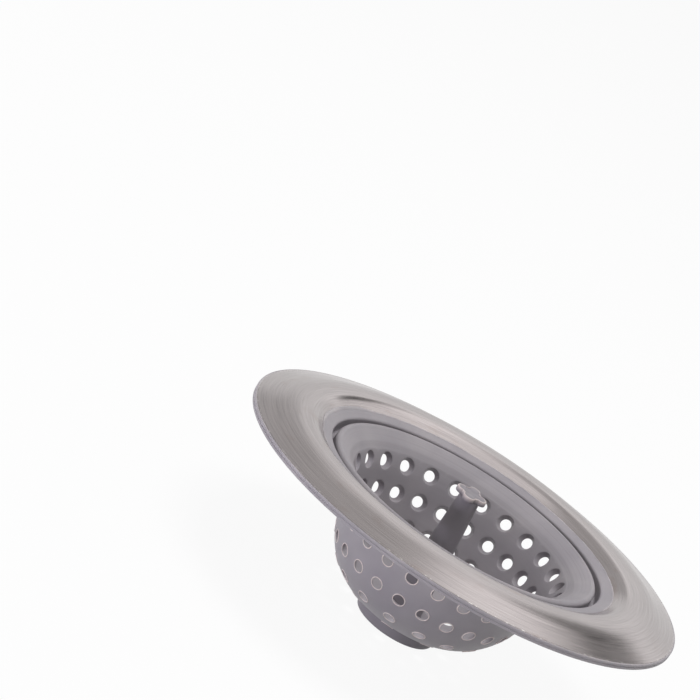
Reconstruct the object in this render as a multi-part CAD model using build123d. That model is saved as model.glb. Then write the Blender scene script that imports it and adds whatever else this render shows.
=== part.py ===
from build123d import *
import math
import os

# A drop-in strainer for a kitchen sink waste: a pressed steel rim, a flexible perforated
# basket moulded round it, and a plug that goes through the basket's floor as a foot below
# and a grip post above. Millimetres and degrees, +Z up, origin at the middle of the
# foot's underside, with a hole of every row on the +X axis.

# Heights above the underside of the foot
LAND_HEIGHT = 32.0          # flat underside of the rim's edge bead
POST_HEIGHT = 38.0          # top of the grip post, the highest point

# The two radii that the others follow
RIM_R = 57.5                # over the edge bead, half the overall diameter
SPIGOT_R = 37.9             # outside of the collar that drops into the waste

# Steel rim, the top face of the sheet. Shares are of its width between edge and seam
SHEET = 0.6                 # sheet thickness
EDGE_WRAP = 0.5             # silicone outside the sheet's outer edge
STEEL_EDGE_RISE = 1.45      # top of that edge over the land
SKIRT_SLOPE = 17.0          # slope of the outer conical band
SKIRT_SHARE = 0.331         # the conical band
SHOULDER_SHARE = 0.337      # where it rounds over
CREST_SHARE = 0.087         # the level crest
CURL_SHARE = 0.267          # radius of the bend that turns the sheet down into the basket
CURL_SLOPE = 32.7           # slope of the sheet where it goes into the silicone
SEAM_OVERHANG = 1.9         # where the sheet goes into the silicone, outside the collar
TAIL = 1.0                  # length of sheet held inside the silicone
BOND_LINE = 0.02            # bonding film between steel and silicone

# Silicone edge and lining under the steel
LINING = 0.9                # silicone under the sheet
LAND_WIDTH = 2.1            # width of the flat land
EDGE_TOP_DROP = 0.05        # top of the edge bead below the steel's edge
EDGE_TOP_ROUND = 0.4        # rounding of the edge bead, upper corner
EDGE_LOWER_ROUND = 0.25     # rounding of the edge bead, lower corner
PARTING_R = 0.15            # radius of the mould's parting groove round the edge
PARTING_SHARE = 0.54        # height of that groove, as a share of the bead's height

# Silicone collar inside the steel
SEAM_LIP_R = 0.4            # small lip that overlaps the steel at the seam
CHANNEL_WALL = 1.15         # silicone round the flexing groove
SPIGOT_ROUND = 0.6          # rounding of the collar's lower corners
COLLAR_RISE = 1.6           # collar over the land, beside the flexing groove
COLLAR_ROUND = 0.2          # rounding of that edge
COLLAR_BASE_RISE = 0.3      # underside of the collar over the land
GROOVE_WIDTH = 1.15         # flexing groove, wall to wall
GROOVE_DROP = 1.4           # bottom of that groove below the land
RIDGE_ROUND = 1.15          # rounded ridge inside the groove
RIDGE_RISE = 1.45           # top of that ridge over the land

# Basket
WALL = 1.15                 # silicone wall of the basket
BAND_WIDTH = 6.3            # sloping band, from the groove in to the crease at the basket's mouth
MOUTH_DROP = 1.6            # that crease below the land
FLARE_RISE = 5.4            # height of the flared stretch under the crease
FLARE_REACH = 2.52          # how far that stretch flares out
WALL_DRAFT = 17.2           # lean of the straight stretch of wall
BEND_SHARE = 0.58           # inside radius of the bend between wall and floor, of the mouth's radius

# Perforations, in rows counted from the floor up
HOLE_R = 1.42               # radius of a hole, at the outside
HOLE_MOUTH_R = 2.1          # radius that it widens to, at the inside
HOLE_ROUND = 0.2            # rounding of the wide end
ROW_START = 6.1             # first row, along the wall from the flat floor
ROW_END = 2.8               # last row, along the wall from the crease
ROW_COUNTS = (8, 16, 24, 24, 24)

# Plug: foot, neck, flange and grip post in one moulding
FOOT_R = 10.4               # radius of the foot
FOOT_THICKNESS = 2.65
FOOT_ROUND = 0.6            # rounding of the foot's lower edge
NECK_R = 4.6                # neck through the floor
HUB_CLEARANCE = 0.05        # between plug and floor, all round
FLANGE_R = 7.25             # flange that holds the floor from above
FLANGE_THICKNESS = 0.8
FLANGE_ROUND = 0.25
POST_BASE_R = 4.55
POST_TOP_R = 2.65
CAP_THICKNESS = 1.1
CAP_ROUND = 0.25
LOBE_R = 1.5                # lobes of the cap
LOBE_REACH = 2.5            # their centres from the axis
LOBE_COUNT = 4

OVERRUN = 1.0               # how far a cutter runs past what it cuts

# Places worked out from the sizes above
FLOOR_UNDER = FOOT_THICKNESS + HUB_CLEARANCE
FLOOR_TOP = FLOOR_UNDER + WALL
MOUTH_HEIGHT = LAND_HEIGHT - MOUTH_DROP
STEEL_EDGE_HEIGHT = LAND_HEIGHT + STEEL_EDGE_RISE
STEEL_EDGE_R = RIM_R - EDGE_WRAP
SEAM_R = SPIGOT_R + SEAM_OVERHANG
STEEL_WIDTH = STEEL_EDGE_R - SEAM_R
SKIRT_INNER_R = STEEL_EDGE_R - SKIRT_SHARE * STEEL_WIDTH
CREST_OUTER_R = SKIRT_INNER_R - SHOULDER_SHARE * STEEL_WIDTH
GROOVE_OUTER_R = SPIGOT_R - CHANNEL_WALL
GROOVE_INNER_R = GROOVE_OUTER_R - GROOVE_WIDTH
COLLAR_INNER_R = GROOVE_INNER_R - CHANNEL_WALL
MOUTH_R = GROOVE_INNER_R - BAND_WIDTH


def toward(heading):
    """Unit step in the half section, as (outward, upward), for a heading in degrees."""
    return math.cos(math.radians(heading)), math.sin(math.radians(heading))


class Route:
    """A line of straights and tangent arcs in the half section, with parallel copies."""

    def __init__(self, start, heading):
        self.start = start
        self.heading = heading
        self.moves = []

    def straight(self, length):
        self.moves.append(("straight", length, 0.0))
        return self

    def arc(self, radius, turn):
        """turn is in degrees, and positive to the left."""
        self.moves.append(("arc", radius, turn))
        return self

    def pieces(self, left):
        """Start, middle and end of each move, on the parallel that lies left of the route."""
        nx, nz = toward(self.heading + 90)
        x = self.start[0] + left * nx
        z = self.start[1] + left * nz
        heading = self.heading
        for kind, size, turn in self.moves:
            if kind == "straight":
                dx, dz = toward(heading)
                end = (x + size * dx, z + size * dz)
                middle = ((x + end[0]) / 2, (z + end[1]) / 2)
            else:
                side = math.copysign(1, turn)
                radius = size - side * left
                nx, nz = toward(heading + side * 90)
                cx, cz = x + radius * nx, z + radius * nz
                mx, mz = toward(heading + turn / 2 - side * 90)
                ex, ez = toward(heading + turn - side * 90)
                middle = (cx + radius * mx, cz + radius * mz)
                end = (cx + radius * ex, cz + radius * ez)
                heading += turn
            yield kind, (x, z), middle, end
            x, z = end

    def end(self, left):
        return list(self.pieces(left))[-1][3]

    def length(self, count):
        """Length of that many moves from the start."""
        return sum(size if kind == "straight" else size * math.radians(abs(turn))
                   for kind, size, turn in self.moves[:count])

    def at(self, distance):
        """Place and heading on the route itself, that far along it."""
        heading = self.heading
        for count, ((kind, size, turn), (_, start, _, _)) in enumerate(zip(self.moves, self.pieces(0)), 1):
            if distance <= self.length(count) or count == len(self.moves):
                break
            heading += turn
        distance -= self.length(count - 1)
        if kind == "straight":
            dx, dz = toward(heading)
            return (start[0] + distance * dx, start[1] + distance * dz), heading
        side = math.copysign(1, turn)
        nx, nz = toward(heading + side * 90)
        cx, cz = start[0] + size * nx, start[1] + size * nz
        turned = side * math.degrees(distance / size)
        px, pz = toward(heading + turned - side * 90)
        return (cx + size * px, cz + size * pz), heading + turned

    def strip(self, near, far):
        """The face between two parallels of the route."""
        edges = []
        for left in (near, far):
            for kind, a, middle, b in self.pieces(left):
                edges.append(section_line(a, b) if kind == "straight" else section_arc(a, middle, b))
        first = next(self.pieces(near))[1], next(self.pieces(far))[1]
        edges.append(section_line(*first))
        edges.append(section_line(self.end(near), self.end(far)))
        return section_face(edges)


def in_section(point):
    return Vector(point[0], 0, point[1])


def section_line(a, b):
    return Edge.make_line(in_section(a), in_section(b))


def section_arc(a, middle, b):
    return Edge.make_three_point_arc(in_section(a), in_section(middle), in_section(b))


def section_face(edges):
    """The face inside those edges, turned to look along -Y like all others in the section."""
    face = Face(Wire(edges))
    return face if face.normal_at().Y < 0 else -face


def section_polygon(*points):
    return section_face([section_line(a, b) for a, b in zip(points, points[1:] + points[:1])])


def section_disc(centre, radius):
    plane = Plane(origin=in_section(centre), x_dir=(1, 0, 0), z_dir=(0, -1, 0))
    return Face(Wire(Edge.make_circle(radius, plane)))


def section_block(r_low, r_high, z_low, z_high):
    return section_polygon((r_low, z_low), (r_high, z_low), (r_high, z_high), (r_low, z_high))


def round_corner(face, corner, radius):
    """The face with its corner nearest to that point rounded."""
    vertex = min(face.vertices(), key=lambda v: (Vector(*v) - in_section(corner)).length)
    return face.fillet_2d(radius, [vertex])


def spun(face):
    return revolve(face, Axis.Z, 360)


def steel_route():
    """Top face of the sheet, from its outer edge inwards."""
    slope = math.radians(SKIRT_SLOPE)
    shoulder_r = (SKIRT_INNER_R - CREST_OUTER_R) / math.sin(slope)
    route = Route((STEEL_EDGE_R, STEEL_EDGE_HEIGHT), 180 - SKIRT_SLOPE)
    route.straight((STEEL_EDGE_R - SKIRT_INNER_R) / math.cos(slope))
    route.arc(shoulder_r, SKIRT_SLOPE)
    route.straight(CREST_SHARE * STEEL_WIDTH)
    route.arc(CURL_SHARE * STEEL_WIDTH, CURL_SLOPE)
    to_seam = route.end(0)[0] - SEAM_R
    route.straight(to_seam / math.cos(math.radians(CURL_SLOPE)) + TAIL)
    return route


def seam_height():
    """Height of the steel where it goes into the silicone."""
    tail_end = steel_route().end(0)
    return tail_end[1] + TAIL * math.sin(math.radians(CURL_SLOPE))


def basket_route():
    """Inner face of the basket, from the middle of the floor up to the crease at its mouth."""
    rise = 90 - WALL_DRAFT
    draft = math.radians(WALL_DRAFT)
    bend_r = BEND_SHARE * MOUTH_R
    straight_rise = MOUTH_HEIGHT - FLARE_RISE - FLOOR_TOP - bend_r * (1 - math.sin(draft))
    route = Route((0, FLOOR_TOP), 0)
    route.straight(MOUTH_R - FLARE_REACH - straight_rise * math.tan(draft) - bend_r * math.cos(draft))
    route.arc(bend_r, rise)
    route.straight(straight_rise / math.cos(draft))
    chord = math.hypot(FLARE_REACH, FLARE_RISE)
    turn = 2 * (rise - math.degrees(math.atan2(FLARE_RISE, FLARE_REACH)))
    route.arc(chord / (2 * math.sin(math.radians(turn / 2))), -turn)
    return route


def steel_rim():
    return spun(steel_route().strip(0, SHEET))


def edge_bead():
    """Silicone round the steel's outer edge, with the flat land below it."""
    top = STEEL_EDGE_HEIGHT - EDGE_TOP_DROP
    inner_r = RIM_R - LAND_WIDTH
    under_steel = STEEL_EDGE_HEIGHT + (STEEL_EDGE_R - inner_r) * math.tan(math.radians(SKIRT_SLOPE)) - SHEET
    face = section_polygon(
        (inner_r, LAND_HEIGHT),
        (RIM_R, LAND_HEIGHT),
        (RIM_R, top),
        (STEEL_EDGE_R, top),
        (inner_r, under_steel),
    )
    face = round_corner(face, (RIM_R, top), EDGE_TOP_ROUND)
    face = round_corner(face, (RIM_R, LAND_HEIGHT), EDGE_LOWER_ROUND)
    parting = LAND_HEIGHT + PARTING_SHARE * (top - LAND_HEIGHT)
    return face - section_disc((RIM_R, parting), PARTING_R)


def collar():
    """Silicone between the steel's tail and the flexing groove, with the channel down to the spigot."""
    groove_bottom = LAND_HEIGHT - GROOVE_DROP
    seam = seam_height()
    edge = (GROOVE_OUTER_R, LAND_HEIGHT + COLLAR_RISE)
    upper = section_polygon(
        (GROOVE_OUTER_R, LAND_HEIGHT - OVERRUN),
        (SPIGOT_R, LAND_HEIGHT - OVERRUN),
        (SPIGOT_R, LAND_HEIGHT + COLLAR_BASE_RISE),
        steel_route().end(SHEET + LINING),
        (SEAM_R, seam),
        (SEAM_R - SEAM_LIP_R, seam),
        edge,
    )
    upper = round_corner(upper, edge, COLLAR_ROUND)
    lip = section_disc((SEAM_R - SEAM_LIP_R, seam - SEAM_LIP_R / 2), SEAM_LIP_R)
    spigot_base = groove_bottom - CHANNEL_WALL
    spigot = section_block(COLLAR_INNER_R, SPIGOT_R, spigot_base, LAND_HEIGHT)
    spigot = round_corner(spigot, (SPIGOT_R, spigot_base), SPIGOT_ROUND)
    spigot = round_corner(spigot, (COLLAR_INNER_R, spigot_base), SPIGOT_ROUND)
    groove_r = GROOVE_WIDTH / 2
    groove = section_block(GROOVE_INNER_R, GROOVE_OUTER_R, groove_bottom + groove_r, LAND_HEIGHT + OVERRUN)
    groove += section_disc((GROOVE_INNER_R + groove_r, groove_bottom + groove_r), groove_r)
    return (spigot - groove) + upper + lip


def sloping_band():
    """Silicone band from the crease at the basket's mouth up to the rounded ridge beside the groove."""
    to_ridge = GROOVE_INNER_R - RIDGE_ROUND - MOUTH_R, LAND_HEIGHT + RIDGE_RISE - RIDGE_ROUND - MOUTH_HEIGHT
    slope = math.atan2(to_ridge[1], to_ridge[0]) + math.asin(RIDGE_ROUND / math.hypot(*to_ridge))
    corner = (GROOVE_INNER_R, MOUTH_HEIGHT + BAND_WIDTH * math.tan(slope))
    under = MOUTH_HEIGHT - WALL / math.cos(slope)
    face = section_polygon(
        (MOUTH_R, MOUTH_HEIGHT),
        corner,
        (GROOVE_INNER_R, LAND_HEIGHT - OVERRUN),
        (COLLAR_INNER_R, LAND_HEIGHT - OVERRUN),
        (COLLAR_INNER_R, under + (COLLAR_INNER_R - MOUTH_R) * math.tan(slope)),
        (MOUTH_R + WALL * math.sin(slope), MOUTH_HEIGHT - WALL * math.cos(slope)),
    )
    return round_corner(face, corner, RIDGE_ROUND)


def hole_cutter(distance):
    """Cutter for one hole on the +X side, that far along the basket's wall."""
    (r, z), heading = basket_route().at(distance)
    brim_r = HOLE_MOUTH_R + HOLE_ROUND
    middle = (1 - math.sqrt(0.5)) * HOLE_ROUND
    outline = [
        section_line((0, -OVERRUN), (brim_r, -OVERRUN)),
        section_line((brim_r, -OVERRUN), (brim_r, 0)),
        section_arc((brim_r, 0), (HOLE_MOUTH_R + middle, middle), (HOLE_MOUTH_R, HOLE_ROUND)),
        section_line((HOLE_MOUTH_R, HOLE_ROUND), (HOLE_R, WALL)),
        section_line((HOLE_R, WALL), (HOLE_R, WALL + OVERRUN)),
        section_line((HOLE_R, WALL + OVERRUN), (0, WALL + OVERRUN)),
        section_line((0, WALL + OVERRUN), (0, -OVERRUN)),
    ]
    outward = toward(heading - 90)
    place = Plane(origin=(r, 0, z), x_dir=(0, 1, 0), z_dir=(outward[0], 0, outward[1]))
    return place * spun(section_face(outline))


def perforations():
    cutters = []
    route = basket_route()
    first = route.length(1) + ROW_START
    pitch = (route.length(len(route.moves)) - ROW_END - first) / (len(ROW_COUNTS) - 1)
    for row, count in enumerate(ROW_COUNTS):
        cutter = hole_cutter(first + row * pitch)
        for k in range(count):
            cutters.append(cutter.rotate(Axis.Z, 360 * k / count))
    return cutters


def silicone_basket():
    lining = steel_route().strip(SHEET, SHEET + LINING)
    channel = steel_route().strip(-BOND_LINE, SHEET + BOND_LINE)
    hub = section_block(0, NECK_R + HUB_CLEARANCE, 0, FLOOR_TOP + OVERRUN)
    wall = basket_route().strip(0, -WALL) - hub
    section = edge_bead() + lining + collar() + sloping_band() + wall - channel
    return spun(section.face()) - perforations()


def puck(radius, height):
    """A disc with rounded upper and lower edges, standing on the origin."""
    face = section_block(0, radius, 0, height)
    face = round_corner(face, (radius, 0), CAP_ROUND)
    face = round_corner(face, (radius, height), CAP_ROUND)
    return spun(face)


def grip_plug():
    neck_top = FLOOR_TOP + HUB_CLEARANCE
    flange_top = neck_top + FLANGE_THICKNESS
    cap_under = POST_HEIGHT - CAP_THICKNESS
    section = section_polygon(
        (0, 0),
        (FOOT_R, 0),
        (FOOT_R, FOOT_THICKNESS),
        (NECK_R, FOOT_THICKNESS),
        (NECK_R, neck_top),
        (FLANGE_R, neck_top),
        (FLANGE_R, flange_top),
        (POST_BASE_R, flange_top),
        (POST_TOP_R, cap_under),
        (POST_TOP_R, cap_under + CAP_THICKNESS / 2),
        (0, cap_under + CAP_THICKNESS / 2),
    )
    section = round_corner(section, (FOOT_R, 0), FOOT_ROUND)
    section = round_corner(section, (FLANGE_R, flange_top), FLANGE_ROUND)
    plug = spun(section) + Pos(0, 0, cap_under) * puck(POST_TOP_R, CAP_THICKNESS)
    for k in range(LOBE_COUNT):
        lobe = Pos(LOBE_REACH, 0, cap_under) * puck(LOBE_R, CAP_THICKNESS)
        plug += lobe.rotate(Axis.Z, 360 * k / LOBE_COUNT)
    return plug


NODES = {
    "steel_rim": steel_rim,
    "silicone_basket": silicone_basket,
    "grip_plug": grip_plug,
}

if __name__ == "__main__":
    os.makedirs("parts", exist_ok=True)
    for node, make in NODES.items():
        export_step(make(), f"parts/{node}.step")
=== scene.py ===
"""Looks of a sink strainer: a brushed steel rim round a perforated silicone basket.

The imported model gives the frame: metres, +Z up, origin at the middle of the foot's underside.
Every outline here is a half section, given as (radius, height), and turned about the Z axis.
"""

import logging
from collections import Counter
from dataclasses import dataclass, field
from enum import Enum
from math import asin, atan2, ceil, copysign, cos, degrees, hypot, pi, radians, sin, sqrt, tan
from typing import Any, Callable, Iterator, Sequence, Union

import bmesh
import bpy
from bmesh.types import BMesh, BMVert
from bpy.types import Material, Mesh, NodeTree, Object
from mathutils import Matrix, Vector


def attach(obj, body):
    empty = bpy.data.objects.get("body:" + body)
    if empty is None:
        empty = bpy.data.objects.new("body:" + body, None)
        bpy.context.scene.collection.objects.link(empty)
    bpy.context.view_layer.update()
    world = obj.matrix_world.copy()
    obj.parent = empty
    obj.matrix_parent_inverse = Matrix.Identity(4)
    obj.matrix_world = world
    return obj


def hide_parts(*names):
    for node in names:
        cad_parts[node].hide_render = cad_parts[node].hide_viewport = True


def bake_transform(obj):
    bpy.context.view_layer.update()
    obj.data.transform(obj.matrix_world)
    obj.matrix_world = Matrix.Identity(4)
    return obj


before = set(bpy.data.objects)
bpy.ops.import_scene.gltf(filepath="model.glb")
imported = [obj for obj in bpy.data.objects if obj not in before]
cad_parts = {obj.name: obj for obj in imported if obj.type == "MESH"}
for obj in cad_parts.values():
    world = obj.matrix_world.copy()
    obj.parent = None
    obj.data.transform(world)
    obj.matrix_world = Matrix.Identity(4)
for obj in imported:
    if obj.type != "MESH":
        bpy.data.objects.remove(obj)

log = logging.getLogger("strainer")

Point = tuple[float, float]
Place = tuple[float, float, float]
Corner = tuple[float, float, float]             # distance from the axis, height and rounding
Colour = tuple[float, float, float, float]
Ramp = tuple[float, float, float, float]        # where it begins, is full, starts to fade and ends

MM = 0.001
SEGMENTS = 192              # steps round the axis, shared by all that meets the perforated wall
WELD = 0.008 * MM           # points closer than this are one point
FILLET_STEP = radians(15)
# This vertex value marks where a pale highlight is painted on the silicone.
LIP_HIGHLIGHT = "hole_lip"            # vertex value that is 1 on the thin lip round a hole


class Slot(Enum):
    """The record's material slots."""

    RIM = "brushed_rim"
    BASKET = "basket_silicone"
    PLUG = "plug_silicone"


class Body(Enum):
    """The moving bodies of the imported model."""

    RIM = "rim"
    PLUG = "plug"


# Outlines in the half section


def toward(heading: float) -> Point:
    """Unit step for a heading in degrees, as (outward, upward)."""
    return cos(radians(heading)), sin(radians(heading))


@dataclass
class Route:
    """A line of straights and tangent arcs in the half section, with its parallels.

    Args:
        start: first point, in metres.
        heading: direction at the start, in degrees from outward, positive upward.
    """

    start: Point
    heading: float
    moves: list[tuple[str, float, float]] = field(default_factory=list)

    def straight(self, length: float) -> "Route":
        """Goes on by a length."""
        self.moves.append(("straight", length, 0.0))
        return self

    def arc(self, radius: float, turn: float) -> "Route":
        """Turns by an angle in degrees, positive to the left."""
        self.moves.append(("arc", radius, turn))
        return self

    def move_length(self, index: int) -> float:
        """Length of one move."""
        kind, size, turn = self.moves[index]
        return size if kind == "straight" else size * radians(abs(turn))

    @property
    def length(self) -> float:
        """Length of the whole route."""
        return sum(self.move_length(i) for i in range(len(self.moves)))

    def at(self, distance: float) -> tuple[Point, float]:
        """Place and heading at a distance along the route.

        Args:
            distance: how far along, in metres.

        Returns:
            The point, and the heading there in degrees.
        """
        r, z = self.start
        heading = self.heading
        for index, (kind, size, turn) in enumerate(self.moves):
            last = index == len(self.moves) - 1
            here = distance if last else min(distance, self.move_length(index))
            if kind == "straight":
                dr, dz = toward(heading)
                r, z = r + here * dr, z + here * dz
            else:
                side = copysign(1, turn)
                nr, nz = toward(heading + side * 90)
                turned = side * degrees(here / size)
                heading += turned
                mr, mz = toward(heading + side * 90)
                r, z = r + size * (nr - mr), z + size * (nz - mz)
            distance -= self.move_length(index)
            if distance <= 0:
                break
        return (r, z), heading

    def beside(self, distance: float, left: float) -> Point:
        """The point at a distance along, moved to the left by another distance."""
        (r, z), heading = self.at(distance)
        nr, nz = toward(heading + 90)
        return r + left * nr, z + left * nz

    def parallel(self, begin: float, end: float, left: float, step: float) -> list[Point]:
        """Points on a parallel between two distances, in that order, about a step apart."""
        count = max(1, ceil(abs(end - begin) / step))
        return [self.beside(begin + (end - begin) * k / count, left) for k in range(count + 1)]


def rounded(corners: Sequence[Corner], closed: bool = False) -> list[Point]:
    """An outline through corners, each with its own radius.

    Args:
        corners: (radius from the axis, height, corner radius) for each corner.
        closed: whether the last corner is joined to the first.

    Returns:
        Points along the outline, with the corners as sampled arcs.
    """
    out: list[Point] = []
    count = len(corners)
    for index, (r, z, radius) in enumerate(corners):
        open_end = not closed and index in (0, count - 1)
        if open_end or radius <= 0:
            out.append((r, z))
            continue
        here = Vector((r, z))
        before = Vector(corners[index - 1][:2]) - here
        after = Vector(corners[(index + 1) % count][:2]) - here
        half = before.angle(after) / 2
        reach = radius / tan(half)
        reach = min(reach, before.length * 0.499, after.length * 0.499)
        radius = reach * tan(half)
        centre = here + (before.normalized() + after.normalized()).normalized() * (radius / sin(half))
        first = here + before.normalized() * reach - centre
        sweep = pi - 2 * half
        turn = copysign(sweep, -before.x * after.y + before.y * after.x)
        steps = max(2, ceil(sweep / FILLET_STEP))
        for k in range(steps + 1):
            angle = turn * k / steps
            c, s = cos(angle), sin(angle)
            out.append((centre.x + first.x * c - first.y * s, centre.y + first.x * s + first.y * c))
    return out


# Meshes


def polar(r: float, angle: float, z: float) -> Place:
    """A point given by its distance from the Z axis, its direction and its height."""
    return r * cos(angle), r * sin(angle), z


def circle(bm: BMesh, r: float, z: float, segments: int) -> list[BMVert]:
    """Adds a circle of points round the Z axis."""
    return [bm.verts.new(polar(r, 2 * pi * k / segments, z)) for k in range(segments)]


def bridge(bm: BMesh, loops: Sequence[list[BMVert]]) -> None:
    """Joins each closed loop of points to the next by quads, or by a fan where one is a point."""
    for lower, upper in zip(loops, loops[1:]):
        for k in range(max(len(lower), len(upper))):
            steps = ((lower, k), (lower, k + 1), (upper, k + 1), (upper, k))
            corners = [loop[step % len(loop)] for loop, step in steps]
            bm.faces.new(list(dict.fromkeys(corners)))


def turned_mesh(bm: BMesh, outline: Sequence[Point], closed: bool = False,
                segments: int = SEGMENTS) -> None:
    """Turns an outline about the Z axis into a bmesh, with a fan where it meets the axis.

    Args:
        bm: the mesh that gets the faces.
        outline: the half section, walked with the solid on its right-hand side.
        closed: whether the last point is joined to the first.
        segments: steps round the axis.
    """
    rings = [circle(bm, r, z, 1 if r < WELD else segments) for r, z in outline]
    bridge(bm, rings + rings[:1] if closed else rings)


def linked(name: str, data: Any) -> Object:
    """A new object of this data, in the scene."""
    obj = bpy.data.objects.new(name, data)
    bpy.context.scene.collection.objects.link(obj)
    return obj


def mesh_from(name: str, bm: BMesh) -> Mesh:
    """A mesh with what a bmesh holds, which is used up."""
    mesh = bpy.data.meshes.new(name)
    bm.to_mesh(mesh)
    bm.free()
    return mesh


def open_edges(mesh: Mesh) -> int:
    """How many edges of a mesh have other than two faces."""
    counts = Counter(key for polygon in mesh.polygons for key in polygon.edge_keys)
    return sum(1 for count in counts.values() if count != 2)


def object_from(name: str, bm: BMesh, material: Material,
                sharp: float = 50.0) -> Object:
    """Makes a linked object from a bmesh, with its faces turned outwards and shaded smooth.

    Args:
        name: the object's name.
        bm: what it is made of, which is used up.
        material: its material.
        sharp: edges that turn by more than this many degrees stay sharp.

    Returns:
        The object.
    """
    bmesh.ops.remove_doubles(bm, verts=bm.verts, dist=WELD)
    bmesh.ops.recalc_face_normals(bm, faces=bm.faces)
    for face in bm.faces:
        face.smooth = True
    mesh = mesh_from(name, bm)
    mesh.materials.append(material)
    mesh.set_sharp_from_angle(angle=radians(sharp))
    log.info("%s: %d faces, %d open edges", name, len(mesh.polygons), open_edges(mesh))
    return linked(name, mesh)


def remove(*objects: Object) -> None:
    """Deletes helper objects, which aren't part of the strainer."""
    for obj in objects:
        bpy.data.objects.remove(obj, do_unlink=True)


# Node trees


def operator(operation: str, swapped: bool = False) -> Callable[["Flow", "Value"], "Flow"]:
    """An operator of flows that adds a Math node, swapped if the other value comes first."""

    def apply(flow: "Flow", other: "Value") -> "Flow":
        """Adds the node."""
        values = (other, flow) if swapped else (flow, other)
        return flow.graph.math(operation, *values)

    return apply


class Flow:
    """What flows out of a node. Arithmetic on it adds Math nodes to its tree."""

    __add__ = __radd__ = operator("ADD")
    __mul__ = __rmul__ = operator("MULTIPLY")
    __sub__, __rsub__ = operator("SUBTRACT"), operator("SUBTRACT", swapped=True)
    __truediv__, __rtruediv__ = operator("DIVIDE"), operator("DIVIDE", swapped=True)

    def __init__(self, graph: "Graph", node: bpy.types.Node, output: Union[str, int] = 0) -> None:
        """Takes one output of a node of a graph, if it has any."""
        self.graph = graph
        self.node = node
        self.socket = node.outputs[output] if len(node.outputs) else None

    def out(self, output: Union[str, int]) -> "Flow":
        """Another output of the same node, by name or number."""
        return Flow(self.graph, self.node, output)

    def call(self, operation: str, *others: "Value") -> "Flow":
        """Any other operation of a Math node, such as SINE."""
        return self.graph.math(operation, self, *others)

    def between(self, low: float, high: float) -> "Flow":
        """Goes from 0 at low to 1 at high, with soft ends."""
        inputs = {0: self, 1: low, 2: high}
        return self.graph.node("ShaderNodeMapRange", inputs, interpolation_type="SMOOTHSTEP")

    def within(self, begin: float, full: float, fade: float, end: float) -> "Flow":
        """Is 1 from full to fade, and 0 before begin and after end."""
        return self.between(begin, full) * (1.0 - self.between(fade, end))

    def near(self, middle: float, width: float) -> "Flow":
        """Is 1 at middle and falls to 0 at a width on either side."""
        return 1.0 - (self - middle).call("ABSOLUTE").between(0.0, width)


Value = Union[float, tuple, Flow, bpy.types.ID]


class Graph:
    """A node tree that is written as expressions."""

    def __init__(self, tree: NodeTree) -> None:
        """Wraps a tree."""
        self.tree = tree

    @classmethod
    def group(cls, name: str, made: str, given: dict[str, str]) -> "Graph":
        """A new tree of Geometry Nodes.

        Args:
            name: the tree's name.
            made: name of the geometry that it makes.
            given: the types of its inputs, by name.
        """
        tree = bpy.data.node_groups.new(name, "GeometryNodeTree")
        tree.interface.new_socket(made, in_out="OUTPUT", socket_type="NodeSocketGeometry")
        for socket, kind in given.items():
            tree.interface.new_socket(socket, in_out="INPUT", socket_type=f"NodeSocket{kind}")
        return cls(tree)

    def node(self, kind: str, inputs: dict[Union[str, int], Value] | None = None, **settings: Any) -> Flow:
        """Adds a node.

        Args:
            kind: the node's type.
            inputs: values or flows for its sockets, by name or number.
            settings: its properties, set before its sockets.

        Returns:
            Its first output.
        """
        made = self.tree.nodes.new(kind)
        for name, value in settings.items():
            setattr(made, name, value)
        for name, value in (inputs or {}).items():
            if isinstance(value, Flow):
                self.tree.links.new(value.socket, made.inputs[name])
            else:
                made.inputs[name].default_value = value
        return Flow(self, made)

    def math(self, operation: str, *values: Value) -> Flow:
        """A Math node on these values."""
        return self.node("ShaderNodeMath", dict(enumerate(values)), operation=operation)

    def mix(self, share: Value, first: Value, second: Value) -> Flow:
        """A colour between two colours."""
        return self.node("ShaderNodeMix", {0: share, 6: first, 7: second}, data_type="RGBA").out(2)

    def vector(self, x: Value, y: Value, z: Value) -> Flow:
        """A vector from three values."""
        return self.node("ShaderNodeCombineXYZ", {0: x, 1: y, 2: z})

    def parts(self, vector: Flow) -> tuple[Flow, Flow, Flow]:
        """The three values of a vector."""
        x = self.node("ShaderNodeSeparateXYZ", {0: vector})
        return x, x.out(1), x.out(2)

    def place(self) -> tuple[Flow, Flow, Flow, Flow, Flow]:
        """The place on the piece: the vector, its x, y and z, and its distance from the Z axis."""
        here = self.node("ShaderNodeTexCoord").out("Object")
        x, y, z = self.parts(here)
        return here, x, y, z, (x * x + y * y).call("SQRT")

    def noise(self, vector: Flow, scale: float = 1.0, detail: float = 2.0, roughness: float = 0.5) -> Flow:
        """Smooth noise from 0 to 1."""
        inputs = {"Vector": vector, "Scale": scale, "Detail": detail, "Roughness": roughness}
        return self.node("ShaderNodeTexNoise", inputs)

    def bump(self, height: Flow, distance: float) -> Flow:
        """A normal that leans with a height from 0 to 1, of that real depth."""
        return self.node("ShaderNodeBump", {"Strength": 1.0, "Distance": distance, "Height": height})


def srgb(red: int, green: int, blue: int) -> Colour:
    """A colour written as on a screen, from 0 to 255, as the shader's linear values."""

    def linear(value: int) -> float:
        """One channel."""
        share = value / 255
        return share / 12.92 if share <= 0.04045 else ((share + 0.055) / 1.055) ** 2.4

    return linear(red), linear(green), linear(blue), 1.0


# Finishes


def new_material(name: str) -> tuple[Material, Graph]:
    """An empty material and its graph."""
    material = bpy.data.materials.new(name)
    material.use_nodes = True
    material.node_tree.nodes.clear()
    return material, Graph(material.node_tree)


def finish_with(graph: Graph, shader: Flow) -> None:
    """Joins a shader to the material's output."""
    graph.node("ShaderNodeOutputMaterial", {"Surface": shader})


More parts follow.
